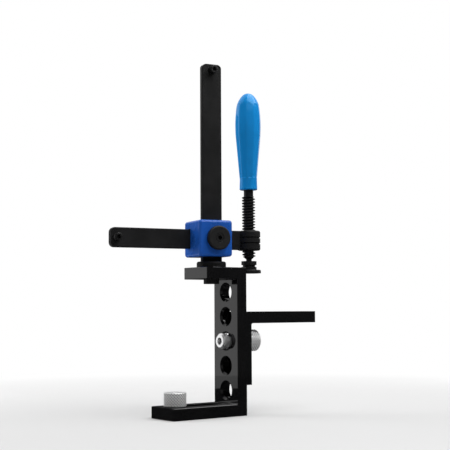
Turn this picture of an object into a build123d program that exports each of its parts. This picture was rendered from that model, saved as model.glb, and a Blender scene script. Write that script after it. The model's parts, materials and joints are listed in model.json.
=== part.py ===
"""Welding table stop angle with a support angle, two ball-lock bolts and a screw clamp.

Millimetres, +Z up. The origin lies on the underside of the foot, under the back face of the
upright and midway across its width. The workpiece stands against that back face, on +X.
"""

import os
from math import atan2, cos, degrees, hypot, radians, sin, tan

from build123d import *

os.makedirs("parts", exist_ok=True)

# System sizes of the table and its accessories
system_bore = 16.0
bore_chamfer = 2.0
bore_pitch = 25.0
bore_clearance = 0.05
edge_break = 0.5

# Stop angle, milled from one block
stop_thickness = 12.0
stop_width = 40.0
stop_height = 150.0
foot_length = 90.0
flange_length = 50.0
bore_land = 2.5
slot_end_margin = 7.0
slot_tip_inset = 15.0
flange_bore_inset = 20.0

# Support angle behind the upright
support_thickness = 12.0
support_width = 25.0
support_reach = 100.0
support_drop = 75.0
support_bore_depth = 30.0
support_inner_radius = 2.0
support_top_bores = 3
workpiece_height = 40.0

# Ball-lock bolts
bolt_head_diameter = 22.5
bolt_head_height = 14.0
bolt_head_chamfer = 1.0
bolt_nose_length = 8.0
bolt_nose_chamfer = 1.7
bolt_nose_bore = 7.3
bolt_stud_diameter = 11.0
bolt_stud_length = 12.0
thrust_pin_diameter = 9.9
thrust_tip_diameter = 4.0
thrust_cone_angle = 30.0
ball_diameter = 5.0
ball_radius_locked = 7.0
ball_clearance = 0.05
bolt_socket = 6.0
bolt_socket_depth = 7.0
table_thickness = 12.0

# Screw clamp
column_width = 22.0
column_thickness = 6.0
column_height = 210.5
bar_corner_radius = 5.0
bar_edge_radius = 1.0
collar_diameter = 30.0
collar_height = 6.0
collar_radius = 1.8
collar_pocket_depth = 4.0
column_pin_reach = 4.7
column_pin_radius = 1.5
arm_height = 20.0
arm_thickness = 6.0
arm_tail = 106.4
arm_reach = 48.1
block_width = 37.0
block_depth = 39.0
block_height = 37.0
block_rise = 4.7
block_offset = -2.2
block_front_wall = 13.8
block_web = 3.5
block_radius = 3.0
window_clearance = 0.4

# Stop screws near the far ends of the two bars
stop_screw_inset = 6.2
stop_screw_head_diameter = 8.0
stop_screw_head_height = 6.9
stop_screw_diameter = 5.0
socket_size = 4.0
socket_depth = 3.0

# Locking knob on the front of the block
knob_offset = -1.0
knob_diameter = 24.5
knob_thickness = 5.7
knob_radius = 1.6
knob_gap = 0.3
lock_screw_diameter = 8.0
lock_screw_head_diameter = 8.6
lock_screw_recess = 0.1
lock_screw_chamfer = 0.4
thrust_disc_thickness = 3.0

# Spindle, its nut, pad and handle
nut_diameter = 24.2
nut_height = 20.6
nut_radius = 1.8
nut_groove_spacing = 6.0
nut_groove_width = 1.8
nut_groove_depth = 1.3
nut_wall_to_bar = 8.4
spindle_diameter = 14.0
spindle_shank_diameter = 10.0
spindle_tang_diameter = 8.0
spindle_tang_length = 60.0
spindle_neck_diameter = 5.8
spindle_ball_diameter = 8.0
thread_rise = 17.6
thread_length = 63.4
spindle_shank_length = 6.9
pad_diameter = 25.0
pad_flange_height = 3.5
pad_hub_diameter = 16.0
pad_groove_diameter = 13.0
pad_groove_bottom = 6.6
pad_groove_top = 8.7
pad_height = 12.6
pad_radius = 1.0
pad_ball_level = 7.4
handle_length = 103.4
grip_foot_diameter = 18.9
grip_foot_edge = 0.8
grip_crease_height = 10.6
grip_crease_diameter = 18.3
grip_taper_depth = 47.5
grip_taper_diameter = 26.4
grip_belly_depth = 33.0
grip_belly_diameter = 27.4
grip_shoulder_depth = 15.7
grip_shoulder_diameter = 24.9
grip_nose_depth = 7.3
grip_nose_diameter = 19.2
grip_cap_depth = 2.0
grip_cap_diameter = 11.2

# Places that follow from the sizes
bore_radius = system_bore / 2
shank_radius = bore_radius - bore_clearance
bore_margin = stop_thickness + bore_land + bore_radius + bore_chamfer
bore_gaps = int((stop_height - 2 * bore_margin) / bore_pitch)
first_bore = (stop_height - bore_gaps * bore_pitch) / 2
bore_levels = [first_bore + i * bore_pitch for i in range(bore_gaps + 1)]
support_bolt_level = bore_levels[bore_gaps // 2]
support_top = support_bolt_level + support_bore_depth
support_bottom = support_top - support_drop
table_bolt_x = slot_tip_inset - foot_length
column_x = flange_bore_inset - flange_length
column_top = stop_height + column_height
arm_level = stop_height + collar_height + block_rise + block_height / 2
arm_centre = column_thickness / 2 + block_web + arm_thickness / 2
clamp_turn = atan2(arm_centre, arm_reach)
spindle_x = column_x + hypot(arm_centre, arm_reach)
block_front = -(column_thickness / 2 + window_clearance + block_front_wall)
pad_bottom = support_top + workpiece_height
thread_bottom = pad_bottom + thread_rise
thread_top = thread_bottom + thread_length
handle_bottom = thread_top + spindle_shank_length
handle_top = handle_bottom + handle_length


def save(piece, name):
    """Label a finished piece and write it as one STEP file."""
    piece.label = name
    export_step(piece, f"parts/{name}.step")


def section_at(x, y=0.0):
    """Vertical plane through (x, y) on which sketch X is radius and sketch Y is height."""
    return Plane(origin=(x, y, 0), x_dir=(1, 0, 0), z_dir=(0, -1, 0))


def clamp_level(z):
    """Level plane on the column's axis, turned with the clamp, its X along the arm."""
    x_dir = (cos(clamp_turn), -sin(clamp_turn), 0)
    return Plane(origin=(column_x, 0, z), x_dir=x_dir, z_dir=(0, 0, 1))


def clamp_front(depth):
    """Upright plane across the clamp, depth behind the column's axis, facing its front."""
    level = clamp_level(0)
    return Plane(origin=level.from_local_coords((0, depth, 0)), x_dir=level.x_dir, z_dir=-level.y_dir)


# Stop angle: foot, upright and top flange in one piece, with system bores and a foot slot
with BuildPart() as stop_angle:
    with BuildSketch(Plane.XZ) as stop_profile:
        with BuildLine() as stop_outline:
            Polyline(
                (-foot_length, 0),
                (0, 0),
                (0, stop_height),
                (-flange_length, stop_height),
                (-flange_length, stop_height - stop_thickness),
                (-stop_thickness, stop_height - stop_thickness),
                (-stop_thickness, stop_thickness),
                (-foot_length, stop_thickness),
                close=True,
            )
        make_face()
    extrude(amount=stop_width / 2, both=True)
    chamfer(stop_angle.edges(), length=edge_break)
    with BuildSketch(Plane.YZ) as upright_bore_profile:
        with Locations(*[(0, level) for level in bore_levels]):
            Circle(bore_radius)
    extrude(amount=-stop_thickness, mode=Mode.SUBTRACT)
    with BuildSketch(Plane.XY.offset(stop_height)) as flange_bore_profile:
        with Locations((column_x, 0)):
            Circle(bore_radius)
    extrude(amount=-stop_thickness, mode=Mode.SUBTRACT)
    bore_rims = stop_angle.edges().filter_by(GeomType.CIRCLE)
    chamfer(bore_rims.filter_by(lambda rim: abs(rim.radius - bore_radius) < 0.01), length=bore_chamfer)
    slot_inner = -stop_thickness - slot_end_margin - bore_radius
    with BuildSketch(Plane.XY) as slot_profile:
        with Locations(((table_bolt_x + slot_inner) / 2, 0)):
            SlotCenterToCenter(slot_inner - table_bolt_x, system_bore)
    extrude(amount=stop_thickness, mode=Mode.SUBTRACT)
save(stop_angle.part, "stop_angle")

# Support angle: carries the workpiece behind the upright
with BuildPart() as support_angle:
    with BuildSketch(Plane.XZ) as support_profile:
        with BuildLine() as support_outline:
            Polyline(
                (0, support_bottom),
                (support_thickness, support_bottom),
                (support_thickness, support_top - support_thickness),
                (support_reach, support_top - support_thickness),
                (support_reach, support_top),
                (0, support_top),
                close=True,
            )
        make_face()
    extrude(amount=support_width / 2, both=True)
    along_y = support_angle.edges().filter_by(Axis.Y)
    inner_corner = along_y.sort_by_distance((support_thickness, 0, support_top - support_thickness))[0]
    fillet(inner_corner, radius=support_inner_radius)
    with BuildSketch(Plane.YZ) as support_bolt_bores:
        with Locations((0, support_bolt_level), (0, support_bolt_level - bore_pitch)):
            Circle(bore_radius)
    extrude(amount=support_thickness, mode=Mode.SUBTRACT)
    with BuildSketch(Plane.XY.offset(support_top)) as support_top_profile:
        first_top_bore = support_reach - support_width / 2
        with Locations(*[(first_top_bore - i * bore_pitch, 0) for i in range(support_top_bores)]):
            Circle(bore_radius)
    extrude(amount=-support_thickness, mode=Mode.SUBTRACT)
save(support_angle.part, "support_angle")


def make_bolt(name, seat, grip):
    """Ball-lock bolt on a seat plane whose normal points out through its head.

    Turning the head screws its stud into the shank, which drives the thrust pin's cone
    between three balls and spreads them behind the far side of the clamped stack.
    """
    section = Plane(origin=seat.origin, x_dir=seat.x_dir, z_dir=-seat.y_dir)
    axis = Axis(seat.origin, seat.z_dir)
    bolt_length = grip + bolt_nose_length
    ball_radius = ball_diameter / 2
    pin_radius = thrust_pin_diameter / 2
    stud_radius = bolt_stud_diameter / 2
    tip_radius = thrust_tip_diameter / 2
    cone_slope = tan(radians(thrust_cone_angle))

    # The balls bear on the 45 degree chamfer of the far bore
    chamfer_gap = (ball_radius + ball_clearance) * 2**0.5
    ball_level = -grip - (chamfer_gap - (bore_radius + bore_chamfer - ball_radius_locked))
    cone_at_ball = ball_radius_locked - (ball_radius + ball_clearance) / cos(radians(thrust_cone_angle))
    cone_top = ball_level + (pin_radius - cone_at_ball) / cone_slope
    cone_tip = cone_top - (pin_radius - tip_radius) / cone_slope

    with BuildPart() as shank:
        with BuildSketch(section) as shank_profile:
            with BuildLine() as shank_outline:
                Polyline(
                    (stud_radius + bore_clearance, 0),
                    (shank_radius, 0),
                    (shank_radius, bolt_nose_chamfer - bolt_length),
                    (shank_radius - bolt_nose_chamfer, -bolt_length),
                    (bolt_nose_bore / 2, -bolt_length),
                    (bolt_nose_bore / 2, cone_tip - ball_clearance),
                    (pin_radius + bore_clearance, cone_tip - ball_clearance),
                    (pin_radius + bore_clearance, -bolt_stud_length - ball_clearance),
                    (stud_radius + bore_clearance, -bolt_stud_length - ball_clearance),
                    close=True,
                )
            make_face()
        revolve(axis=axis)
        for spoke in range(3):
            outward = seat.x_dir.rotate(Axis((0, 0, 0), seat.z_dir), 120 * spoke)
            with BuildSketch(Plane(origin=seat.from_local_coords((0, 0, ball_level)), z_dir=outward)):
                Circle(ball_radius + ball_clearance)
            extrude(amount=bore_radius, mode=Mode.SUBTRACT)
    save(shank.part, f"{name}_shank")

    with BuildPart() as thrust_pin:
        with BuildSketch(section) as thrust_profile:
            with BuildLine() as thrust_outline:
                Polyline(
                    (0, -bolt_stud_length - ball_clearance),
                    (pin_radius, -bolt_stud_length - ball_clearance),
                    (pin_radius, cone_top),
                    (tip_radius, cone_tip),
                    (0, cone_tip),
                    close=True,
                )
            make_face()
        revolve(axis=axis)
    save(thrust_pin.part, f"{name}_thrust_pin")

    with BuildPart() as head:
        with BuildSketch(section) as head_profile:
            with BuildLine() as head_outline:
                Polyline(
                    (0, -bolt_stud_length),
                    (stud_radius, -bolt_stud_length),
                    (stud_radius, ball_clearance),
                    (bolt_head_diameter / 2 - bolt_head_chamfer, ball_clearance),
                    (bolt_head_diameter / 2, bolt_head_chamfer),
                    (bolt_head_diameter / 2, bolt_head_height - bolt_head_chamfer),
                    (bolt_head_diameter / 2 - bolt_head_chamfer, bolt_head_height),
                    (0, bolt_head_height),
                    close=True,
                )
            make_face()
        revolve(axis=axis)
        with BuildSketch(seat.offset(bolt_head_height)) as head_socket:
            RegularPolygon(bolt_socket / 2, 6, major_radius=False)
        extrude(amount=-bolt_socket_depth, mode=Mode.SUBTRACT)
    save(head.part, f"{name}_head")

    for spoke in range(3):
        outward = seat.x_dir.rotate(Axis((0, 0, 0), seat.z_dir), 120 * spoke)
        centre = seat.from_local_coords((0, 0, ball_level)) + outward * ball_radius_locked
        with BuildPart() as ball:
            with BuildSketch(Plane(origin=centre, x_dir=seat.z_dir, z_dir=outward)) as ball_profile:
                Circle(ball_radius)
                Rectangle(ball_diameter, ball_diameter, align=(Align.CENTER, Align.MAX), mode=Mode.SUBTRACT)
            revolve(axis=Axis(centre, seat.z_dir))
        save(ball.part, f"{name}_ball_{spoke + 1}")


table_seat = Plane(origin=(table_bolt_x, 0, stop_thickness), x_dir=(0, 1, 0), z_dir=(0, 0, 1))
support_seat = Plane(origin=(support_thickness, 0, support_bolt_level), x_dir=(0, 1, 0), z_dir=(1, 0, 0))
make_bolt("table_bolt", table_seat, stop_thickness + table_thickness)
make_bolt("support_bolt", support_seat, support_thickness + stop_thickness)

# Column foot: the pin that drops into the flange bore, its collar and a pocket for the bar
with BuildPart() as column_foot:
    with BuildSketch(section_at(column_x)) as column_foot_profile:
        with BuildLine() as column_foot_outline:
            Polyline(
                (0, stop_height - stop_thickness - column_pin_reach),
                (shank_radius, stop_height - stop_thickness - column_pin_reach),
                (shank_radius, stop_height),
                (collar_diameter / 2, stop_height),
                (collar_diameter / 2, stop_height + collar_height),
                (0, stop_height + collar_height),
                close=True,
            )
        make_face()
        outer_corners = column_foot_profile.vertices().group_by(Axis.X)
        fillet(outer_corners[-1].sort_by(Axis.Z)[-1], radius=collar_radius)
        fillet(outer_corners[-2].sort_by(Axis.Z)[0], radius=column_pin_radius)
    revolve(axis=Axis((column_x, 0, 0), (0, 0, 1)))
    with BuildSketch(clamp_level(stop_height + collar_height)) as collar_pocket:
        RectangleRounded(
            column_width + 2 * bore_clearance, column_thickness + 2 * bore_clearance, bar_edge_radius
        )
    extrude(amount=-collar_pocket_depth, mode=Mode.SUBTRACT)
save(column_foot.part, "column_foot")

# Column bar: flat steel with rounded top corners, let into the collar
column_bottom = stop_height + collar_height - collar_pocket_depth
with BuildPart() as column_bar:
    with BuildSketch(clamp_level(column_bottom)) as column_section:
        RectangleRounded(column_width, column_thickness, bar_edge_radius)
    extrude(amount=column_top - column_bottom)
    with BuildSketch(clamp_front(-column_thickness / 2)) as column_front:
        with Locations((0, (column_bottom + column_top) / 2)):
            Rectangle(column_width, column_top - column_bottom)
        fillet(column_front.vertices().group_by(Axis.Z)[-1], radius=bar_corner_radius)
    extrude(amount=-column_thickness, mode=Mode.INTERSECT)
    with BuildSketch(clamp_front(-column_thickness / 2)) as column_screw_hole:
        with Locations((0, column_top - stop_screw_inset)):
            Circle(stop_screw_diameter / 2 + bore_clearance)
    extrude(amount=-column_thickness, mode=Mode.SUBTRACT)
save(column_bar.part, "column_bar")

# Arm bar: the same flat steel on edge, behind the column
arm_front = arm_centre - arm_thickness / 2
arm_end = arm_reach - nut_wall_to_bar
with BuildPart() as arm_bar:
    arm_end_plane = Plane(
        origin=clamp_level(arm_level).from_local_coords((-arm_tail, arm_centre, 0)),
        x_dir=clamp_level(0).y_dir,
        z_dir=clamp_level(0).x_dir,
    )
    with BuildSketch(arm_end_plane) as arm_section:
        RectangleRounded(arm_thickness, arm_height, bar_edge_radius)
    extrude(amount=arm_tail + arm_end)
    with BuildSketch(clamp_front(arm_front)) as arm_outline:
        with Locations(((arm_end - arm_tail) / 2, arm_level)):
            Rectangle(arm_tail + arm_end, arm_height)
        tail_corners = arm_outline.vertices().sort_by_distance(arm_end_plane.origin)[:2]
        fillet(tail_corners, radius=bar_corner_radius)
    extrude(amount=-arm_thickness, mode=Mode.INTERSECT)
    with BuildSketch(clamp_front(arm_front)) as arm_screw_hole:
        with Locations((stop_screw_inset - arm_tail, arm_level)):
            Circle(stop_screw_diameter / 2 + bore_clearance)
    extrude(amount=-arm_thickness, mode=Mode.SUBTRACT)
save(arm_bar.part, "arm_bar")


def make_stop_screw(name, face, along, level, bar_thickness):
    """Cap screw through a bar that keeps the block from running off its end."""
    with BuildPart() as screw:
        with BuildSketch(clamp_front(face)) as screw_head:
            with Locations((along, level)):
                Circle(stop_screw_head_diameter / 2)
        extrude(amount=stop_screw_head_height)
        chamfer(screw.edges().sort_by(Axis((0, 0, 0), screw_head.workplanes[0].z_dir))[-1], length=edge_break)
        with BuildSketch(clamp_front(face)) as screw_shank:
            with Locations((along, level)):
                Circle(stop_screw_diameter / 2)
        extrude(amount=-bar_thickness)
        with BuildSketch(clamp_front(face - stop_screw_head_height)) as screw_socket:
            with Locations((along, level)):
                RegularPolygon(socket_size / 2, 6, major_radius=False)
        extrude(amount=-socket_depth, mode=Mode.SUBTRACT)
    save(screw.part, name)


make_stop_screw(
    "column_stop_screw", -column_thickness / 2, 0, column_top - stop_screw_inset, column_thickness
)
make_stop_screw("arm_stop_screw", arm_front, stop_screw_inset - arm_tail, arm_level, arm_thickness)

# Clamp block: rounded block with one window for each bar and a threaded bore in its front
with BuildPart() as clamp_block:
    with BuildSketch(clamp_level(arm_level - block_height / 2)) as block_plan:
        with Locations((block_offset, block_front + block_depth / 2)):
            Rectangle(block_width, block_depth)
    extrude(amount=block_height)
    fillet(clamp_block.edges(), radius=block_radius)
    with BuildSketch(clamp_level(arm_level - block_height / 2)) as column_window:
        Rectangle(column_width + 2 * window_clearance, column_thickness + 2 * window_clearance)
    extrude(amount=block_height, mode=Mode.SUBTRACT)
    window_start = clamp_level(arm_level).from_local_coords((block_offset - block_width / 2, arm_centre, 0))
    with BuildSketch(Plane(window_start, clamp_level(0).y_dir, clamp_level(0).x_dir)) as arm_window:
        Rectangle(arm_thickness + 2 * window_clearance, arm_height + 2 * window_clearance)
    extrude(amount=block_width, mode=Mode.SUBTRACT)
    with BuildSketch(clamp_front(block_front)) as lock_bore:
        with Locations((knob_offset, arm_level)):
            Circle(lock_screw_diameter / 2 + bore_clearance)
    extrude(amount=-block_front_wall - window_clearance, mode=Mode.SUBTRACT)
save(clamp_block.part, "clamp_block")

# Thrust disc: bears on the column's face and doesn't turn with the screw
disc_face = -column_thickness / 2 - ball_clearance
with BuildPart() as lock_thrust_disc:
    with BuildSketch(clamp_front(disc_face)) as thrust_disc_profile:
        with Locations((knob_offset, arm_level)):
            Circle(lock_screw_diameter / 2)
    extrude(amount=thrust_disc_thickness)
save(lock_thrust_disc.part, "lock_thrust_disc")

# Locking screw: threaded stud with a socket in its outer end
screw_inner = disc_face - thrust_disc_thickness - ball_clearance
knob_back = block_front - knob_gap
knob_front = knob_back - knob_thickness
outward_axis = Axis((0, 0, 0), clamp_front(0).z_dir)
with BuildPart() as lock_screw:
    with BuildSketch(clamp_front(screw_inner)) as lock_stud_profile:
        with Locations((knob_offset, arm_level)):
            Circle(lock_screw_diameter / 2)
    extrude(amount=screw_inner - knob_back)
    with BuildSketch(clamp_front(knob_back)) as lock_head_profile:
        with Locations((knob_offset, arm_level)):
            Circle(lock_screw_head_diameter / 2)
    extrude(amount=knob_thickness - lock_screw_recess)
    chamfer(lock_screw.edges().sort_by(outward_axis)[-1], length=lock_screw_chamfer)
    with BuildSketch(clamp_front(knob_front + lock_screw_recess)) as lock_socket:
        with Locations((knob_offset, arm_level)):
            RegularPolygon(socket_size / 2, 6, major_radius=False)
    extrude(amount=-socket_depth, mode=Mode.SUBTRACT)
save(lock_screw.part, "lock_screw")

# Locking knob: disc with a rounded rim, fixed on the screw's outer end
with BuildPart() as lock_knob:
    with BuildSketch(clamp_front(knob_back)) as knob_profile:
        with Locations((knob_offset, arm_level)):
            Circle(knob_diameter / 2)
    extrude(amount=knob_thickness)
    fillet(lock_knob.edges(), radius=knob_radius)
    with BuildSketch(clamp_front(knob_back)) as knob_bore:
        with Locations((knob_offset, arm_level)):
            Circle(lock_screw_head_diameter / 2 + bore_clearance)
    extrude(amount=knob_thickness, mode=Mode.SUBTRACT)
    front_rims = lock_knob.edges().filter_by(GeomType.CIRCLE).group_by(outward_axis)[-1]
    chamfer(front_rims.sort_by(SortBy.RADIUS)[0], length=lock_screw_chamfer)
save(lock_knob.part, "lock_knob")

# Spindle nut: ribbed boss on the arm's end
spindle_axis = Axis((spindle_x, 0, 0), (0, 0, 1))
spindle_bore_radius = spindle_diameter / 2 + bore_clearance
with BuildPart() as spindle_nut:
    with BuildSketch(Plane.XY.offset(arm_level - nut_height / 2)) as nut_plan:
        with Locations((spindle_x, 0)):
            Circle(nut_diameter / 2)
    extrude(amount=nut_height)
    fillet(spindle_nut.edges(), radius=nut_radius)
    with BuildSketch(section_at(spindle_x)) as nut_grooves:
        for side in (-1, 1):
            groove_level = arm_level + side * nut_groove_spacing / 2
            with Locations((nut_diameter / 2, groove_level)):
                Polygon(
                    (0, -nut_groove_width / 2),
                    (0, nut_groove_width / 2),
                    (-nut_groove_depth, 0),
                    align=None,
                )
    revolve(axis=spindle_axis, mode=Mode.SUBTRACT)
    with BuildSketch(Plane.XY.offset(arm_level - nut_height / 2)) as nut_bore:
        with Locations((spindle_x, 0)):
            Circle(spindle_bore_radius)
    extrude(amount=nut_height, mode=Mode.SUBTRACT)
    with BuildSketch(clamp_level(arm_level - nut_height / 2)) as nut_slot:
        with Locations((arm_end, arm_centre)):
            Rectangle(
                2 * (nut_diameter / 2 - nut_wall_to_bar),
                arm_thickness,
                align=(Align.MAX, Align.CENTER),
            )
    extrude(amount=nut_height, mode=Mode.SUBTRACT)
save(spindle_nut.part, "spindle_nut")

# Spindle: thread, plain shank with a tang in the handle, neck and ball end
ball_level = pad_bottom + pad_ball_level
neck_radius = spindle_neck_diameter / 2
thread_radius = spindle_diameter / 2
with BuildPart() as spindle:
    with BuildSketch(section_at(spindle_x)) as spindle_profile:
        with BuildLine() as spindle_outline:
            Polyline(
                (0, ball_level),
                (neck_radius, ball_level),
                (neck_radius, thread_bottom - (thread_radius - neck_radius) / 2),
                (thread_radius, thread_bottom),
                (thread_radius, thread_top),
                (spindle_shank_diameter / 2, thread_top),
                (spindle_shank_diameter / 2, handle_bottom),
                (spindle_tang_diameter / 2, handle_bottom),
                (spindle_tang_diameter / 2, handle_bottom + spindle_tang_length),
                (0, handle_bottom + spindle_tang_length),
                close=True,
            )
        make_face()
    revolve(axis=spindle_axis)
    with Locations((spindle_x, 0, ball_level)):
        Sphere(spindle_ball_diameter / 2)
save(spindle.part, "spindle")

# Pressure pad: turned foot with a socket that swivels on the spindle's ball
with BuildPart() as pressure_pad:
    with BuildSketch(section_at(spindle_x)) as pad_profile:
        with BuildLine() as pad_outline:
            Polyline(
                (0, pad_bottom),
                (pad_diameter / 2, pad_bottom),
                (pad_diameter / 2, pad_bottom + pad_flange_height),
                (pad_hub_diameter / 2, pad_bottom + pad_flange_height),
                (pad_hub_diameter / 2, pad_bottom + pad_groove_bottom),
                (pad_groove_diameter / 2, pad_bottom + pad_groove_bottom),
                (pad_groove_diameter / 2, pad_bottom + pad_groove_top),
                (pad_hub_diameter / 2, pad_bottom + pad_groove_top),
                (pad_hub_diameter / 2, pad_bottom + pad_height),
                (0, pad_bottom + pad_height),
                close=True,
            )
        make_face()
        rims = pad_profile.vertices().group_by(Axis.X)
        fillet(rims[-1].sort_by(Axis.Z)[-1], radius=pad_radius)
        fillet(rims[-2].sort_by(Axis.Z)[-1], radius=pad_radius)
    revolve(axis=spindle_axis)
    with Locations((spindle_x, 0, ball_level)):
        Sphere(spindle_ball_diameter / 2 + bore_clearance, mode=Mode.SUBTRACT)
    with BuildSketch(Plane.XY.offset(ball_level)) as pad_mouth:
        with Locations((spindle_x, 0)):
            Circle(neck_radius + window_clearance)
    extrude(amount=pad_height, mode=Mode.SUBTRACT)
save(pressure_pad.part, "pressure_pad")

# Handle: moulded grip with a collar at its foot, a taper, a belly and a rounded nose
grip_foot_radius = grip_foot_diameter / 2
crease = (grip_crease_diameter / 2, handle_bottom + grip_crease_height)
taper_end = (grip_taper_diameter / 2, handle_top - grip_taper_depth)
belly = (grip_belly_diameter / 2, handle_top - grip_belly_depth)
shoulder = (grip_shoulder_diameter / 2, handle_top - grip_shoulder_depth)
nose = (grip_nose_diameter / 2, handle_top - grip_nose_depth)
cap_edge = (grip_cap_diameter / 2, handle_top - grip_cap_depth)
cap_radius = (cap_edge[0] ** 2 + grip_cap_depth**2) / (2 * grip_cap_depth)
with BuildPart() as handle:
    with BuildSketch(section_at(spindle_x)) as handle_profile:
        with BuildLine() as handle_outline:
            Polyline(
                (0, handle_bottom),
                (grip_foot_radius - grip_foot_edge, handle_bottom),
                (grip_foot_radius, handle_bottom + grip_foot_edge),
                (grip_foot_radius, handle_bottom + 3 * grip_foot_edge),
                crease,
                taper_end,
            )
            ThreePointArc(taper_end, belly, shoulder)
            ThreePointArc(shoulder, nose, cap_edge)
            RadiusArc(cap_edge, (0, handle_top), -cap_radius)
            Line((0, handle_top), (0, handle_bottom))
        make_face()
    revolve(axis=spindle_axis)
    with BuildSketch(Plane.XY.offset(handle_bottom)) as tang_bore:
        with Locations((spindle_x, 0)):
            Circle(spindle_tang_diameter / 2 + bore_clearance)
    extrude(amount=spindle_tang_length + 2 * bore_clearance, mode=Mode.SUBTRACT)
save(handle.part, "handle")

print(f"clamp turned {degrees(clamp_turn):.2f} degrees, spindle at x {spindle_x:.2f}")
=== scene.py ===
"""Dresses the welding table stop angle: finishes, knurled heads, screw thread and grip."""

import json
from math import cos, pi, radians, sin

import bpy
import numpy as np
from mathutils import Matrix, Vector


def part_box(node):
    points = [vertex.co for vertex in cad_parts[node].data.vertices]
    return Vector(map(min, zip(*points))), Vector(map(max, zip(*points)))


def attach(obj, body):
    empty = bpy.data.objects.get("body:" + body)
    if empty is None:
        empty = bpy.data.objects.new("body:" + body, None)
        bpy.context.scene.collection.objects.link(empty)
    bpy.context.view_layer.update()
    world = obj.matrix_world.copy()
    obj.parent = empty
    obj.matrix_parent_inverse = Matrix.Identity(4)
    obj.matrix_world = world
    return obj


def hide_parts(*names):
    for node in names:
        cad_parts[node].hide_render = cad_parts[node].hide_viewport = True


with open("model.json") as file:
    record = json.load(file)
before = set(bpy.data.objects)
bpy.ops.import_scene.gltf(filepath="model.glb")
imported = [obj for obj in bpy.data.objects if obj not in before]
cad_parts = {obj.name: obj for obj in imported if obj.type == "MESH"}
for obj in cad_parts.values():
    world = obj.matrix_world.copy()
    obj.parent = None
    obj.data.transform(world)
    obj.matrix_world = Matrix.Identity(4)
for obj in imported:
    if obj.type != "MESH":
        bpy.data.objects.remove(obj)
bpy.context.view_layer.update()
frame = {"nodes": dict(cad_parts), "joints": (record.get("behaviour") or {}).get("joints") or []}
nodes = frame["nodes"]
axis_place = {joint["name"]: joint.get("pos_m") for joint in frame["joints"]}
scene = bpy.context.scene

# Camera: an 83 mm lens, a little over a metre away and lower than the object's middle. It looks
# up past the near left corner of the stop angle to the clamp.
CAMERA_AT = (-0.65692, -0.85534, 0.10715)
CAMERA_HEADING = radians(52.994)
CAMERA_RISE = radians(4.662)
CAMERA_ROLL = radians(-0.294)
CAMERA_LENS = 82.99
CAMERA_SENSOR = 36
CAMERA_NEAR = 0.01
CAMERA_FAR = 50


def direction(azimuth, rise):
    """The unit vector at that azimuth and at that rise above the level."""
    return Vector((cos(rise) * cos(azimuth), cos(rise) * sin(azimuth), sin(rise)))


forward = direction(CAMERA_HEADING, CAMERA_RISE)
level_right = Vector((sin(CAMERA_HEADING), -cos(CAMERA_HEADING), 0))
level_up = level_right.cross(forward)
right = cos(CAMERA_ROLL) * level_right + sin(CAMERA_ROLL) * level_up
up = cos(CAMERA_ROLL) * level_up - sin(CAMERA_ROLL) * level_right
camera = bpy.data.objects.new("camera", bpy.data.cameras.new("camera"))
camera.data.lens = CAMERA_LENS
camera.data.sensor_width = CAMERA_SENSOR
camera.data.clip_start = CAMERA_NEAR
camera.data.clip_end = CAMERA_FAR
camera.matrix_world = Matrix((right, up, -forward)).transposed().to_4x4()
camera.location = CAMERA_AT
scene.collection.objects.link(camera)
scene.camera = camera
scene.view_settings.view_transform = "Standard"

# World: plain white round the object for the camera and for reflections, a little softer as a
# light. Its full white is taken from Light Path and not from more light.
WORLD_LIGHT = 0.85
WORLD_WHITE = 1.0


def math_node(tree, operation, *feeds):
    """The output of a new math node. Each feed is a number or another node's output."""
    node = tree.nodes.new("ShaderNodeMath")
    node.operation = operation
    for socket, feed in zip(node.inputs, feeds):
        if isinstance(feed, bpy.types.NodeSocket):
            tree.links.new(feed, socket)
        else:
            socket.default_value = feed
    return node.outputs[0]


def seen_directly(tree):
    """A value that is 1 on camera, glossy and transmission rays and 0 on all others."""
    rays = tree.nodes.new("ShaderNodeLightPath").outputs
    camera_or_glossy = math_node(tree, "MAXIMUM", rays["Is Camera Ray"], rays["Is Glossy Ray"])
    return math_node(tree, "MAXIMUM", camera_or_glossy, rays["Is Transmission Ray"])


world = bpy.data.worlds.new("studio")
scene.world = world
world.use_nodes = True
sky = world.node_tree
strength = sky.nodes.new("ShaderNodeMapRange")
strength.inputs["To Min"].default_value = WORLD_LIGHT
strength.inputs["To Max"].default_value = WORLD_WHITE
sky.links.new(seen_directly(sky), strength.inputs["Value"])
sky.links.new(strength.outputs["Result"], sky.nodes["Background"].inputs["Strength"])
sky.nodes["Background"].inputs["Color"].default_value = (1, 1, 1, 1)

# Floor: a pale matt disc at the level that the foot stands on. It takes the shadow near the foot
# and runs out to plain white further away, so that no horizon shows.
FLOOR_RADIUS = 8.0
FLOOR_SIDES = 96
FLOOR_COLOUR = (0.60, 0.60, 0.60, 1)
FLOOR_ROUGHNESS = 0.8
FLOOR_GLOSS = 0.1
FLOOR_FADE_START = 0.12
FLOOR_FADE_END = 0.75


def new_material(name):
    """An empty node material: the material, its node tree and its Principled shader."""
    material = bpy.data.materials.new(name)
    material.use_nodes = True
    return material, material.node_tree, material.node_tree.nodes["Principled BSDF"]


def smooth_mask(tree, value, low, high):
    """A value that is 0 where the given one is below low, 1 above high, and eased between."""
    mask = tree.nodes.new("ShaderNodeMapRange")
    mask.interpolation_type = "SMOOTHSTEP"
    mask.inputs["From Min"].default_value = low
    mask.inputs["From Max"].default_value = high
    tree.links.new(value, mask.inputs["Value"])
    return mask.outputs["Result"]


def stage_piece(name, points, faces, material):
    """A mesh that belongs to the studio and not to the object."""
    mesh = bpy.data.meshes.new(name)
    mesh.from_pydata(points.tolist(), [], faces)
    mesh.materials.append(material)
    made = bpy.data.objects.new(name, mesh)
    scene.collection.objects.link(made)
    return made


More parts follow.
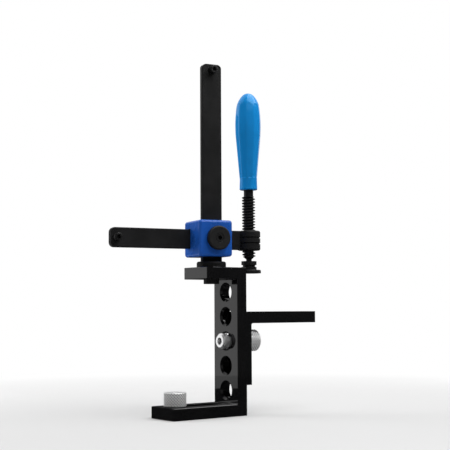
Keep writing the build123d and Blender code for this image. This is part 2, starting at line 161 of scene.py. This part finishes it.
floor_turn = np.linspace(0, 2 * pi, FLOOR_SIDES, endpoint=False)
unit_disc = np.stack([np.cos(floor_turn), np.sin(floor_turn), np.zeros(FLOOR_SIDES)], axis=1)
disc_faces = [list(range(FLOOR_SIDES))]
floor_material, floor_tree, floor_shader = new_material("pale floor")
floor_shader.inputs["Base Color"].default_value = FLOOR_COLOUR
floor_shader.inputs["Roughness"].default_value = FLOOR_ROUGHNESS
floor_shader.inputs["Specular IOR Level"].default_value = FLOOR_GLOSS
floor_place = floor_tree.nodes.new("ShaderNodeTexCoord")
floor_distance = floor_tree.nodes.new("ShaderNodeVectorMath")
floor_distance.operation = "LENGTH"
floor_fade = smooth_mask(
    floor_tree, floor_distance.outputs["Value"], FLOOR_FADE_START, FLOOR_FADE_END
)
floor_white = math_node(floor_tree, "MULTIPLY", floor_fade, seen_directly(floor_tree))
white_light = floor_tree.nodes.new("ShaderNodeEmission")
floor_mix = floor_tree.nodes.new("ShaderNodeMixShader")
floor_tree.links.new(floor_place.outputs["Object"], floor_distance.inputs[0])
floor_tree.links.new(floor_white, floor_mix.inputs["Fac"])
floor_tree.links.new(floor_shader.outputs["BSDF"], floor_mix.inputs[1])
floor_tree.links.new(white_light.outputs["Emission"], floor_mix.inputs[2])
floor_surface = floor_tree.nodes["Material Output"].inputs["Surface"]
floor_tree.links.new(floor_mix.outputs["Shader"], floor_surface)
stage_piece("floor", FLOOR_RADIUS * unit_disc, disc_faces, floor_material)

# Screen: a curved card round the front and the left, as flags are set round glossy black parts.
# Seen from the object it is white on the left, dark next to that and grey in front, with plain
# white above it. A dark cloth lies on the floor, and it shows in reflections only.
SCREEN_RADIUS = 0.65
SCREEN_MIDDLE = (-0.03, 0, 0.2)
SCREEN_TONES = {
    20: 0.06,
    80: 0.06,
    95: 0.08,
    115: 0.08,
    119: 1.45,
    141: 1.45,
    146: 0.28,
    165: 0.20,
    185: 0.03,
    205: 0.03,
    215: 0.34,
    228: 0.20,
    260: 0.12,
    310: 0.08,
    372: 0.08,
}
SCREEN_TOPS = {20: 6, 88: 6, 92: 24, 116: 24, 120: 45, 166: 45, 176: 84, 224: 84, 234: 32, 372: 32}
SCREEN_COLUMNS = 177
CLOTH_TONE = 0.045
CLOTH_LEVEL = 0.0004
CLOTH_REACH = {0: 0.65, 92: 0.65, 98: 0.36, 162: 0.36, 168: 0.65, 360: 0.65}


def read_off(values_by_azimuth, azimuth):
    """The values at those azimuths in degrees, on straight lines between the given ones."""
    return np.interp(azimuth, list(values_by_azimuth), list(values_by_azimuth.values()))


screen_azimuth = np.linspace(min(SCREEN_TONES), max(SCREEN_TONES), SCREEN_COLUMNS)
screen_bottom = np.degrees(np.arcsin(-SCREEN_MIDDLE[2] / SCREEN_RADIUS))
screen_rise = np.radians(
    [
        np.full(SCREEN_COLUMNS, screen_bottom),
        np.zeros(SCREEN_COLUMNS),
        read_off(SCREEN_TOPS, screen_azimuth),
    ]
)
screen_rows = len(screen_rise)
screen_turn = np.radians(screen_azimuth)[None, :]
screen_points = np.array(SCREEN_MIDDLE) + SCREEN_RADIUS * np.stack(
    [
        np.cos(screen_rise) * np.cos(screen_turn),
        np.cos(screen_rise) * np.sin(screen_turn),
        np.sin(screen_rise),
    ],
    axis=-1,
)
screen_index = np.arange(screen_rows * SCREEN_COLUMNS).reshape(screen_rows, SCREEN_COLUMNS)
screen_faces = np.stack(
    [
        screen_index[:-1, :-1],
        screen_index[:-1, 1:],
        screen_index[1:, 1:],
        screen_index[1:, :-1],
    ],
    axis=-1,
)
card_material, card_tree, card_shader = new_material("screen and cloth")
card_tree.nodes.remove(card_shader)
card_light = card_tree.nodes.new("ShaderNodeEmission")
card_value = card_tree.nodes.new("ShaderNodeAttribute")
card_value.attribute_name = "tone"
card_tree.links.new(card_value.outputs["Fac"], card_light.inputs["Strength"])
card_surface = card_tree.nodes["Material Output"].inputs["Surface"]
card_tree.links.new(card_light.outputs["Emission"], card_surface)
screen = stage_piece(
    "screen", screen_points.reshape(-1, 3), screen_faces.reshape(-1, 4).tolist(), card_material
)
cloth_reach = read_off(CLOTH_REACH, np.degrees(floor_turn))
cloth_points = unit_disc * cloth_reach[:, None] + np.array([0, 0, CLOTH_LEVEL])
cloth = stage_piece("cloth", cloth_points, disc_faces, card_material)
screen_tone = np.tile(read_off(SCREEN_TONES, screen_azimuth), screen_rows)
for card, tone in ((screen, screen_tone), (cloth, np.full(FLOOR_SIDES, CLOTH_TONE))):
    card_tone = card.data.attributes.new("tone", "FLOAT", "POINT")
    card_tone.data.foreach_set("value", tone.astype(np.float32))
    card.visible_camera = False
    card.visible_transmission = False
    card.visible_shadow = False
cloth.visible_diffuse = False

# Lights: one large softbox, high on the right, mirrors as the bright square in the grip's nose.
# A weaker one behind the white part of the screen fills the left faces and mirrors nowhere.
KEY_AZIMUTH = radians(302)
KEY_RISE = radians(63)
KEY_DISTANCE = 1.9
KEY_SIZE = 2.3
KEY_POWER = 60
FILL_AZIMUTH = radians(126)
FILL_RISE = radians(12)
FILL_DISTANCE = 1.3
FILL_SIZE = 0.9
FILL_POWER = 10
LIGHT_AIM = Vector((0, 0, 0.2))


def softbox(name, azimuth, rise, distance, size, power):
    """A square light at that distance from the object, turned towards it."""
    lamp = bpy.data.lights.new(name, "AREA")
    lamp.shape = "SQUARE"
    lamp.size = size
    lamp.energy = power
    way_out = direction(azimuth, rise)
    made = bpy.data.objects.new(name, lamp)
    made.location = LIGHT_AIM + distance * way_out
    made.rotation_euler = way_out.to_track_quat("Z", "Y").to_euler()
    scene.collection.objects.link(made)
    return made


softbox("key light", KEY_AZIMUTH, KEY_RISE, KEY_DISTANCE, KEY_SIZE, KEY_POWER)
fill_light = softbox("fill light", FILL_AZIMUTH, FILL_RISE, FILL_DISTANCE, FILL_SIZE, FILL_POWER)
fill_light.visible_glossy = False

# Stop angle and support angle: steel angles milled from the solid, with a smooth black gloss
# finish. Their group is shared by every coated or moulded skin here: it gives faint patches of
# colour and gloss and a fine grain.
FINISH_INPUTS = (
    ("Dark", "NodeSocketColor"),
    ("Light", "NodeSocketColor"),
    ("Least Roughness", "NodeSocketFloat"),
    ("Most Roughness", "NodeSocketFloat"),
)
FINISH_OUTPUTS = (
    ("Colour", "NodeSocketColor"),
    ("Roughness", "NodeSocketFloat"),
    ("Normal", "NodeSocketVector"),
)
PATCH_DETAIL = 3
PATCH_START = 0.35
PATCH_FULL = 0.65
GRAIN_DETAIL = 2
BUMP_DISTANCE = 1.0


def finish_group(name, own_inputs):
    """A node group with its own inputs and with the sockets that every finish here has."""
    group = bpy.data.node_groups.new(name, "ShaderNodeTree")
    for socket_name, socket_type in (*own_inputs, *FINISH_INPUTS):
        group.interface.new_socket(name=socket_name, in_out="INPUT", socket_type=socket_type)
    for socket_name, socket_type in FINISH_OUTPUTS:
        group.interface.new_socket(name=socket_name, in_out="OUTPUT", socket_type=socket_type)
    return group, group.nodes.new("NodeGroupInput").outputs


def noise(tree, place, scale, detail):
    """The value of a noise texture at that place."""
    texture = tree.nodes.new("ShaderNodeTexNoise")
    texture.inputs["Detail"].default_value = detail
    tree.links.new(place, texture.inputs["Vector"])
    tree.links.new(scale, texture.inputs["Scale"])
    return texture.outputs["Fac"]


def finish_outputs(group, given, mask, relief, relief_height):
    """Gives out the colour from dark to light and the roughness from least to most by the mask,
    and the normal of a bump of the relief times its height in metres.
    """
    colour = group.nodes.new("ShaderNodeMix")
    colour.data_type = "RGBA"
    roughness = group.nodes.new("ShaderNodeMapRange")
    bump = group.nodes.new("ShaderNodeBump")
    bump.inputs["Distance"].default_value = BUMP_DISTANCE
    wanted = group.nodes.new("NodeGroupOutput").inputs
    for output, socket in (
        (mask, colour.inputs["Factor"]),
        (given["Dark"], colour.inputs["A"]),
        (given["Light"], colour.inputs["B"]),
        (mask, roughness.inputs["Value"]),
        (given["Least Roughness"], roughness.inputs["To Min"]),
        (given["Most Roughness"], roughness.inputs["To Max"]),
        (math_node(group, "MULTIPLY", relief, relief_height), bump.inputs["Height"]),
        (colour.outputs["Result"], wanted["Colour"]),
        (roughness.outputs["Result"], wanted["Roughness"]),
        (bump.outputs["Normal"], wanted["Normal"]),
    ):
        group.links.new(output, socket)


def finish_material(name, group, dark, light, roughness, own_values):
    """A material on a finish group: two close colours, least and most roughness, own values."""
    material, tree, shader = new_material(name)
    finish = tree.nodes.new("ShaderNodeGroup")
    finish.node_tree = group
    finish.inputs["Dark"].default_value = (*dark, 1)
    finish.inputs["Light"].default_value = (*light, 1)
    finish.inputs["Least Roughness"].default_value = roughness[0]
    finish.inputs["Most Roughness"].default_value = roughness[1]
    for socket_name, value in own_values.items():
        finish.inputs[socket_name].default_value = value
    tree.links.new(finish.outputs["Colour"], shader.inputs["Base Color"])
    tree.links.new(finish.outputs["Roughness"], shader.inputs["Roughness"])
    tree.links.new(finish.outputs["Normal"], shader.inputs["Normal"])
    return material, tree, shader, finish


skin, skin_given = finish_group(
    "skin",
    (
        ("Patch Scale", "NodeSocketFloat"),
        ("Grain Scale", "NodeSocketFloat"),
        ("Grain Height", "NodeSocketFloat"),
    ),
)
skin_place = skin.nodes.new("ShaderNodeTexCoord").outputs["Object"]
patches = noise(skin, skin_place, skin_given["Patch Scale"], PATCH_DETAIL)
grain = noise(skin, skin_place, skin_given["Grain Scale"], GRAIN_DETAIL)
patch_mask = smooth_mask(skin, patches, PATCH_START, PATCH_FULL)
finish_outputs(skin, skin_given, patch_mask, grain, skin_given["Grain Height"])


def skin_material(
    name,
    dark,
    light,
    patch_scale,
    grain_scale,
    grain_height,
    roughness,
    gloss,
    gloss_colour=(1, 1, 1),
):
    """A finish on the skin group, with the strength of its gloss and the colour of it."""
    own_values = {
        "Patch Scale": patch_scale,
        "Grain Scale": grain_scale,
        "Grain Height": grain_height,
    }
    material, _, shader, _ = finish_material(name, skin, dark, light, roughness, own_values)
    shader.inputs["Specular IOR Level"].default_value = gloss
    shader.inputs["Specular Tint"].default_value = (*gloss_colour, 1)
    return material


def dress(node, material):
    """Gives every material slot of a CAD node that material."""
    for slot in nodes[node].material_slots:
        slot.material = material


black_gloss = skin_material(
    "black gloss steel",
    dark=(0.0030, 0.0030, 0.0033),
    light=(0.0042, 0.0042, 0.0046),
    patch_scale=35,
    grain_scale=900,
    grain_height=0.0000004,
    roughness=(0.03, 0.06),
    gloss=0.32,
)
dress("stop_angle", black_gloss)
dress("support_angle", black_gloss)

# Ball-lock bolts: bright steel turned on a lathe, with knurled heads and with hardened and
# polished balls. The turning group draws the fine rings from the distance to the bolt's axis and
# the place along it.
RING_SCALE = 1500
RING_DETAIL = 4
RING_START = 0.3
RING_FULL = 0.7
RING_HEIGHT = 0.000002
STEEL_DARK = (0.78, 0.78, 0.79)
STEEL_LIGHT = (0.93, 0.93, 0.93)
STEEL_ROUGHNESS = (0.26, 0.38)
STEEL_POLISH = 0.80
HEAD_ROUGHNESS = (0.24, 0.34)
HEAD_POLISH = 0.24
HEAD_RADIUS = 0.01125
HEAD_HEIGHT = 0.014
HEAD_BEVEL = 0.001
HEAD_SEAT_GAP = 0.00005
STUD_RADIUS = 0.0055
STUD_LENGTH = 0.012
SOCKET_ACROSS = 0.006
SOCKET_DEPTH = 0.007
SOCKET_BEVEL = 0.0005
KNURL_STARTS = 24
KNURL_COLUMNS = 14
KNURL_PITCH = 0.0029
KNURL_ROWS = 64
KNURL_DEPTH = 0.00060
KNURL_EDGE = 0.0003
POCKET_START = 0.13
POCKET_FULL = 0.21
# Painted shade: the dark base colour that the knurl's pockets take, standing in for the shade
# there.
POCKET_PAINTED_SHADE = (0.015, 0.015, 0.015, 1)
SHARP_ANGLE = radians(32)
INNER_RING_SHARE = 0.5

turning, turning_given = finish_group(
    "turning marks",
    (
        ("Position", "NodeSocketVector"),
        ("Ring Scale", "NodeSocketFloat"),
        ("Ring Height", "NodeSocketFloat"),
    ),
)
along_and_across = turning.nodes.new("ShaderNodeSeparateXYZ")
across_only = turning.nodes.new("ShaderNodeCombineXYZ")
from_axis = turning.nodes.new("ShaderNodeVectorMath")
from_axis.operation = "LENGTH"
ring_place = turning.nodes.new("ShaderNodeCombineXYZ")
turning.links.new(turning_given["Position"], along_and_across.inputs[0])
turning.links.new(along_and_across.outputs["X"], across_only.inputs["X"])
turning.links.new(along_and_across.outputs["Y"], across_only.inputs["Y"])
turning.links.new(across_only.outputs[0], from_axis.inputs[0])
turning.links.new(from_axis.outputs["Value"], ring_place.inputs["X"])
turning.links.new(along_and_across.outputs["Z"], ring_place.inputs["Z"])
rings = noise(turning, ring_place.outputs[0], turning_given["Ring Scale"], RING_DETAIL)
ring_mask = smooth_mask(turning, rings, RING_START, RING_FULL)
finish_outputs(turning, turning_given, ring_mask, rings, turning_given["Ring Height"])


def knurl_pocket_shade(tree, position):
    """Painted shade mask: 1 in the knurl's pockets and 0 on its ridges, as knurled_head makes them.
    """
    parts = tree.nodes.new("ShaderNodeSeparateXYZ")
    tree.links.new(position, parts.inputs[0])
    turn = math_node(tree, "ARCTAN2", parts.outputs["Y"], parts.outputs["X"])
    around = math_node(tree, "MULTIPLY", turn, KNURL_STARTS / (2 * pi))
    along = math_node(tree, "DIVIDE", parts.outputs["Z"], KNURL_PITCH)
    below = []
    for way in ("ADD", "SUBTRACT"):
        part = math_node(tree, "FRACT", math_node(tree, way, around, along))
        below.append(math_node(tree, "ABSOLUTE", math_node(tree, "SUBTRACT", part, 0.5)))
    return smooth_mask(tree, math_node(tree, "MINIMUM", *below), POCKET_START, POCKET_FULL)


def turned_steel(
    name, place, axis_turn, dark, light, roughness, ring_height, polish, knurled=False
):
    """Steel turned round the axis through place; axis_turn is the turn that laid it down.

    Polish is 1 for bare metal and less where a satin skin scatters part of the light.
    """
    own_values = {"Ring Scale": RING_SCALE, "Ring Height": ring_height}
    material, tree, shader, finish = finish_material(
        name, turning, dark, light, roughness, own_values
    )
    coordinates = tree.nodes.new("ShaderNodeTexCoord")
    centred = tree.nodes.new("ShaderNodeMapping")
    centred.vector_type = "TEXTURE"
    centred.inputs["Location"].default_value = place
    centred.inputs["Rotation"].default_value = axis_turn
    tree.links.new(coordinates.outputs["Object"], centred.inputs["Vector"])
    tree.links.new(centred.outputs["Vector"], finish.inputs["Position"])
    shader.inputs["Metallic"].default_value = polish
    # Knurled heads get painted shade: their base colour turns dark in the knurl's pockets.
    if knurled:
        shade = tree.nodes.new("ShaderNodeMix")
        shade.data_type = "RGBA"
        shade.inputs["B"].default_value = POCKET_PAINTED_SHADE
        tree.links.new(knurl_pocket_shade(tree, centred.outputs["Vector"]), shade.inputs["Factor"])
        tree.links.new(finish.outputs["Colour"], shade.inputs["A"])
        tree.links.new(shade.outputs["Result"], shader.inputs["Base Color"])
    return material


def add_round_piece(name, place, across, upright, outward, turn, radius, height):
    """A closed surface of rings round the line through place along outward.

    Every point lies at place, plus its height along outward, plus its radius times the cosine of
    its turn along across and the sine of its turn along upright. Neighbouring rings are joined by
    quads, and the first and last ring are closed by triangles to a point on the axis. An edge that
    turns by more than the sharp angle stays crisp.
    """
    rows, columns = radius.shape
    place, outward = np.array(place), np.array(outward)
    spokes = np.cos(turn)[:, None] * np.array(across) + np.sin(turn)[:, None] * np.array(upright)
    points = place + radius[..., None] * spokes + height[:, None, None] * outward
    poles = place + height[[0, -1], None] * outward
    points = np.concatenate([points.reshape(-1, 3), poles])
    index = np.arange(rows * columns).reshape(rows, columns)
    beside = np.roll(index, -1, axis=1)
    quads = np.stack([index[:-1], beside[:-1], beside[1:], index[1:]], axis=-1).reshape(-1, 4)
    start = np.stack([beside[0], index[0], np.full(columns, rows * columns)], axis=-1)
    end = np.stack([index[-1], beside[-1], np.full(columns, rows * columns + 1)], axis=-1)
    mesh = bpy.data.meshes.new(name)
    mesh.from_pydata(points.tolist(), [], quads.tolist() + start.tolist() + end.tolist())
    mesh.shade_smooth()
    mesh.set_sharp_from_angle(angle=SHARP_ANGLE)
    made = bpy.data.objects.new(name, mesh)
    scene.collection.objects.link(made)
    return made


def knurled_head(name, place, across, upright, outward):
    """A bolt head with its stud below and its key socket on top.

    The side carries a diamond knurl: two trains of ridges, one climbing to the left and one to
    the right, each a triangle wave of the turn plus or minus the height, and the higher one
    counts. The socket's radius is half its width over the cosine of the turn from a flat.
    """
    turn = np.linspace(0, 2 * pi, KNURL_STARTS * KNURL_COLUMNS, endpoint=False)
    levels = np.linspace(HEAD_BEVEL, HEAD_HEIGHT - HEAD_BEVEL, KNURL_ROWS)
    around = turn[None, :] * KNURL_STARTS / (2 * pi)
    along = levels[:, None] / KNURL_PITCH
    below_left = np.abs(2 * ((around + along) % 1) - 1)
    below_right = np.abs(2 * ((around - along) % 1) - 1)
    pocket = np.minimum(below_left, below_right)
    to_end = np.minimum(levels - HEAD_BEVEL, HEAD_HEIGHT - HEAD_BEVEL - levels)
    fade = np.clip(to_end / KNURL_EDGE, 0, 1)[:, None]
    side = HEAD_RADIUS - KNURL_DEPTH * fade * pocket
    flat_turn = (turn + pi / 6) % (pi / 3) - pi / 6
    socket = SOCKET_ACROSS / 2 / np.cos(flat_turn)
    even = np.ones_like(turn)
    shoulder = HEAD_RADIUS - HEAD_BEVEL
    stud = np.outer([INNER_RING_SHARE * STUD_RADIUS, STUD_RADIUS, STUD_RADIUS, shoulder], even)
    stud_levels = [-STUD_LENGTH, -STUD_LENGTH, HEAD_SEAT_GAP, HEAD_SEAT_GAP]
    top = [shoulder * even, socket + SOCKET_BEVEL, socket, socket, INNER_RING_SHARE * socket]
    floor_level = HEAD_HEIGHT - SOCKET_DEPTH
    top_levels = [HEAD_HEIGHT, HEAD_HEIGHT, HEAD_HEIGHT - SOCKET_BEVEL, floor_level, floor_level]
    radius = np.concatenate([stud, side, top])
    height = np.concatenate([stud_levels, levels, top_levels])
    return add_round_piece(name, place, across, upright, outward, turn, radius, height)


ball_steel = turned_steel(
    "polished ball steel",
    place=(0, 0, 0),
    axis_turn=(0, 0, 0),
    dark=(0.80, 0.80, 0.81),
    light=(0.88, 0.88, 0.88),
    roughness=(0.1, 0.2),
    ring_height=0,
    polish=1,
)
# Each bolt's way: the directions across and upright, the one out of its head, and its axis turn.
bolt_ways = {
    "table_bolt": ((1, 0, 0), (0, 1, 0), (0, 0, 1), (0, 0, 0)),
    "support_bolt": ((0, 0, -1), (0, 1, 0), (1, 0, 0), (0, pi / 2, 0)),
}
for bolt, (across, upright, outward, axis_turn) in bolt_ways.items():
    seat = axis_place[bolt + "_turn"]
    steel = turned_steel(
        bolt + " bright steel",
        place=seat,
        axis_turn=axis_turn,
        dark=STEEL_DARK,
        light=STEEL_LIGHT,
        roughness=STEEL_ROUGHNESS,
        ring_height=RING_HEIGHT,
        polish=STEEL_POLISH,
    )
    knurled_steel = turned_steel(
        bolt + " knurled steel",
        place=seat,
        axis_turn=axis_turn,
        dark=STEEL_DARK,
        light=STEEL_LIGHT,
        roughness=HEAD_ROUGHNESS,
        ring_height=RING_HEIGHT,
        polish=HEAD_POLISH,
        knurled=True,
    )
    head = knurled_head(bolt + "_knurled_head", seat, across, upright, outward)
    head.data.materials.append(knurled_steel)
    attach(head, bolt + "_hand_head")
    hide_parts(bolt + "_head")
    dress(bolt + "_shank", steel)
    dress(bolt + "_thrust_pin", steel)
    for ball in ("_ball_1", "_ball_2", "_ball_3"):
        dress(bolt + ball, ball_steel)

# Column and arm: flat steel bars with softly rounded edges under a matt black coat. The column
# stands in a turned collar, and the arm carries the ribbed nut of the spindle.
matt_black = skin_material(
    "matt black coat",
    dark=(0.0120, 0.0120, 0.0122),
    light=(0.0145, 0.0145, 0.0148),
    patch_scale=60,
    grain_scale=1400,
    grain_height=0.000006,
    roughness=(0.38, 0.48),
    gloss=0.10,
)
for node in ("column_bar", "arm_bar", "column_foot", "spindle_nut"):
    dress(node, matt_black)

# Screws and pad: blackened steel, as the stop screws, the locking screw with its thrust disc and
# the turned pressure pad all come from the same black oxide bath.
black_oxide = skin_material(
    "black oxide",
    dark=(0.0070, 0.0070, 0.0072),
    light=(0.0105, 0.0105, 0.0110),
    patch_scale=90,
    grain_scale=2500,
    grain_height=0.000003,
    roughness=(0.36, 0.50),
    gloss=0.22,
)
for node in (
    "column_stop_screw",
    "arm_stop_screw",
    "lock_screw",
    "lock_thrust_disc",
    "pressure_pad",
):
    dress(node, black_oxide)

# Clamp block: the piece that joins column and arm. It is cast, with its edges rounded, and
# sprayed in a deep blue with a faint ripple.
block_blue = skin_material(
    "glossy blue coat",
    dark=(0.0105, 0.084, 0.390),
    light=(0.0120, 0.092, 0.430),
    patch_scale=50,
    grain_scale=450,
    grain_height=0.0000035,
    roughness=(0.20, 0.28),
    gloss=0.30,
)
dress("clamp_block", block_blue)

# Locking knob: a moulded black disc with a fine eroded grain. It is fixed on the locking screw,
# whose key socket shows in its middle.
knob_black = skin_material(
    "grained black plastic",
    dark=(0.0110, 0.0110, 0.0112),
    light=(0.0130, 0.0130, 0.0133),
    patch_scale=80,
    grain_scale=2200,
    grain_height=0.000010,
    roughness=(0.50, 0.60),
    gloss=0.20,
)
dress("lock_knob", knob_black)

# Spindle: rolled screw thread, a plain shank that ends inside the grip, and a neck with a ball
# end that swivels in the pressure pad. Blackened like the screws.
SPINDLE_COLUMNS = 96
THREAD_PITCH = 0.003
THREAD_ROOT = 0.0050
THREAD_CREST = 0.00695
THREAD_BOTTOM = 0.1614
THREAD_TOP = 0.2262
THREAD_STEP = 0.0002
THREAD_RUN_OUT = THREAD_PITCH / 3
TOOTH_FOOT = 0.84
TOOTH_FLANK = 0.62
BALL_LEVEL = 0.1524
BALL_RADIUS = 0.0040
BALL_TIP_ANGLE = 0.25
BALL_RINGS = 14
NECK_RADIUS = 0.0029
NECK_TOP = 0.1595
SHANK_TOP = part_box("handle")[0].z
SHANK_EDGE = 0.0001
TANG_RADIUS = 0.0040
TANG_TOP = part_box("spindle")[1].z
TANG_BEVEL = 0.0005


def threaded_spindle(name, place):
    """The spindle as rings from its ball end up to its tang.

    The ball's rings lie on an arc. Along the thread the radius is the root plus a rounded tooth
    of the fraction of a turn, which is the height over the pitch less the turn, and the tooth
    fades out over a third of a turn at each end.
    """
    turn = np.linspace(0, 2 * pi, SPINDLE_COLUMNS, endpoint=False)
    even = np.ones_like(turn)
    ball_turn = np.linspace(BALL_TIP_ANGLE, pi - np.arcsin(NECK_RADIUS / BALL_RADIUS), BALL_RINGS)
    ball_levels = BALL_LEVEL - BALL_RADIUS * np.cos(ball_turn)
    ball = np.outer(BALL_RADIUS * np.sin(ball_turn), even)
    neck_levels = [NECK_TOP, THREAD_BOTTOM]
    neck = np.outer([NECK_RADIUS, THREAD_ROOT], even)
    levels = np.arange(THREAD_BOTTOM, THREAD_TOP, THREAD_STEP)
    part_of_turn = (levels[:, None] / THREAD_PITCH - turn[None, :] / (2 * pi)) % 1
    from_crest = np.abs(2 * part_of_turn - 1)
    tooth = np.clip((TOOTH_FOOT - from_crest) / TOOTH_FLANK, 0, 1)
    tooth = tooth * tooth * (3 - 2 * tooth)
    to_end = np.minimum(levels - THREAD_BOTTOM, THREAD_TOP - levels)
    fade = np.clip(to_end / THREAD_RUN_OUT, 0, 1)[:, None]
    thread = THREAD_ROOT + (THREAD_CREST - THREAD_ROOT) * tooth * fade
    end_levels = [SHANK_TOP - SHANK_EDGE, SHANK_TOP, TANG_TOP - TANG_BEVEL, TANG_TOP]
    end = np.outer([THREAD_ROOT, TANG_RADIUS, TANG_RADIUS, TANG_RADIUS - TANG_BEVEL], even)
    radius = np.concatenate([ball, neck, thread, end])
    height = np.concatenate([ball_levels, neck_levels, levels, end_levels])
    return add_round_piece(name, place, (1, 0, 0), (0, 1, 0), (0, 0, 1), turn, radius, height)


spindle_foot = (axis_place["spindle_turn"][0], axis_place["spindle_turn"][1], 0)
spindle = threaded_spindle("threaded_spindle", spindle_foot)
spindle.data.materials.append(black_oxide)
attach(spindle, "screw")
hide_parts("spindle")

# Grip: moulded over the spindle's tang in one glossy blue plastic, whose gloss has some of the
# blue in it. Ten shallow flutes between fine ridges run from just above the collar at its foot
# up into the rounded nose. Each outline point is a height above the foot and a radius.
GRIP_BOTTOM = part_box("handle")[0].z
GRIP_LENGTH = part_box("handle")[1].z - GRIP_BOTTOM
GRIP_FOOT_RADIUS = 0.00945
GRIP_FOOT_EDGE = 0.0008
GRIP_FOOT_BAND = 0.0024
GRIP_CREASE = (0.0106, 0.00915)
GRIP_TAPER_END = (GRIP_LENGTH - 0.0475, 0.0132)
GRIP_BELLY = (GRIP_LENGTH - 0.0330, 0.0137)
GRIP_SHOULDER = (GRIP_LENGTH - 0.0157, 0.01245)
GRIP_NOSE = (GRIP_LENGTH - 0.0073, 0.0096)
GRIP_CAP_EDGE = (GRIP_LENGTH - 0.0020, 0.0056)
GRIP_TIP_RADIUS = 0.0004
GRIP_BORE_RADIUS = 0.00405
GRIP_BORE_DEPTH = 0.0601
RUN_IN_TOP = 0.0150
RUN_IN_RINGS = 24
TAPER_START = 0.0160
TAPER_TOP = 0.055
TAPER_RINGS = 40
BELLY_RINGS = 60
NOSE_RINGS = 20
CAP_RINGS = 10
FLUTES = 10
FLUTE_COLUMNS = 36
FLUTE_TURN = radians(7)
FLUTE_DEPTH = 0.00032
FLUTE_BOTTOM = 0.0122
FLUTE_TOP = 0.0911
FLUTE_RUN_IN = 0.0005
FLUTE_RUN_OUT = 0.0015


def arc_through(first, middle, last, count):
    """Points on the circle through three points: its centre is as far from each of them."""
    first, middle, last = np.array(first), np.array(middle), np.array(last)
    centre = np.linalg.solve(
        2 * np.array([middle - first, last - first]),
        [middle @ middle - first @ first, last @ last - first @ first],
    )
    begin = np.arctan2(first[1] - centre[1], first[0] - centre[0])
    sweep = np.arctan2(last[1] - centre[1], last[0] - centre[0]) - begin
    angle = begin + sweep * np.linspace(0, 1, count)
    reach = np.hypot(*(first - centre))
    return centre + reach * np.stack([np.cos(angle), np.sin(angle)], axis=1)


def fluted_grip(name, place):
    """The grip as rings from the end of its bore, round its foot and up to its nose.

    Its outline is a straight collar and taper, then arcs over belly, shoulder and nose. From its
    radius the flutes take their depth times the size of the sine of half their number times the
    turn, faded in and out at the ends.
    """
    turn = np.linspace(0, 2 * pi, FLUTES * FLUTE_COLUMNS, endpoint=False)
    run_in_heights = np.linspace(GRIP_CREASE[0], RUN_IN_TOP, RUN_IN_RINGS)
    upper_heights = np.linspace(TAPER_START, TAPER_TOP, TAPER_RINGS)
    taper_heights = np.concatenate([run_in_heights, upper_heights])
    taper_slope = (GRIP_TAPER_END[1] - GRIP_CREASE[1]) / (GRIP_TAPER_END[0] - GRIP_CREASE[0])
    taper = np.stack(
        [taper_heights, GRIP_CREASE[1] + taper_slope * (taper_heights - GRIP_CREASE[0])], axis=1
    )
    belly = arc_through(GRIP_TAPER_END, GRIP_BELLY, GRIP_SHOULDER, BELLY_RINGS)
    nose = arc_through(GRIP_SHOULDER, GRIP_NOSE, GRIP_CAP_EDGE, NOSE_RINGS)[1:]
    far_edge = (GRIP_CAP_EDGE[0], -GRIP_CAP_EDGE[1])
    cap = arc_through(GRIP_CAP_EDGE, (GRIP_LENGTH, 0), far_edge, 2 * CAP_RINGS + 1)[1:CAP_RINGS]
    foot = [
        (0, GRIP_FOOT_RADIUS - GRIP_FOOT_EDGE),
        (GRIP_FOOT_EDGE, GRIP_FOOT_RADIUS),
        (GRIP_FOOT_BAND, GRIP_FOOT_RADIUS),
    ]
    outline = np.concatenate([foot, taper, belly, nose, cap, [(GRIP_LENGTH, GRIP_TIP_RADIUS)]])
    level, outer = outline[:, 0], outline[:, 1]
    rise = np.clip((level - FLUTE_BOTTOM) / FLUTE_RUN_IN, 0, 1)
    fall = np.clip((FLUTE_TOP - level) / FLUTE_RUN_OUT, 0, 1)
    fade = (rise * fall)[:, None]
    wave = np.abs(np.sin(FLUTES / 2 * (turn - FLUTE_TURN)))[None, :]
    grip = outer[:, None] - fade * FLUTE_DEPTH * wave
    bore_radii = [INNER_RING_SHARE * GRIP_BORE_RADIUS, GRIP_BORE_RADIUS, GRIP_BORE_RADIUS]
    bore = np.outer(bore_radii, np.ones_like(turn))
    bore_levels = [GRIP_BORE_DEPTH, GRIP_BORE_DEPTH, 0]
    radius = np.concatenate([bore, grip])
    height = GRIP_BOTTOM + np.concatenate([bore_levels, level])
    return add_round_piece(name, place, (1, 0, 0), (0, 1, 0), (0, 0, 1), turn, radius, height)


grip_blue = skin_material(
    "moulded blue grip",
    dark=(0.0085, 0.225, 0.590),
    light=(0.0100, 0.242, 0.630),
    patch_scale=40,
    grain_scale=600,
    grain_height=0.0000003,
    roughness=(0.015, 0.03),
    gloss=0.40,
    gloss_colour=(0.40, 0.80, 1),
)
grip = fluted_grip("fluted_grip", spindle_foot)
grip.data.materials.append(grip_blue)
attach(grip, "screw")
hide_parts("handle")
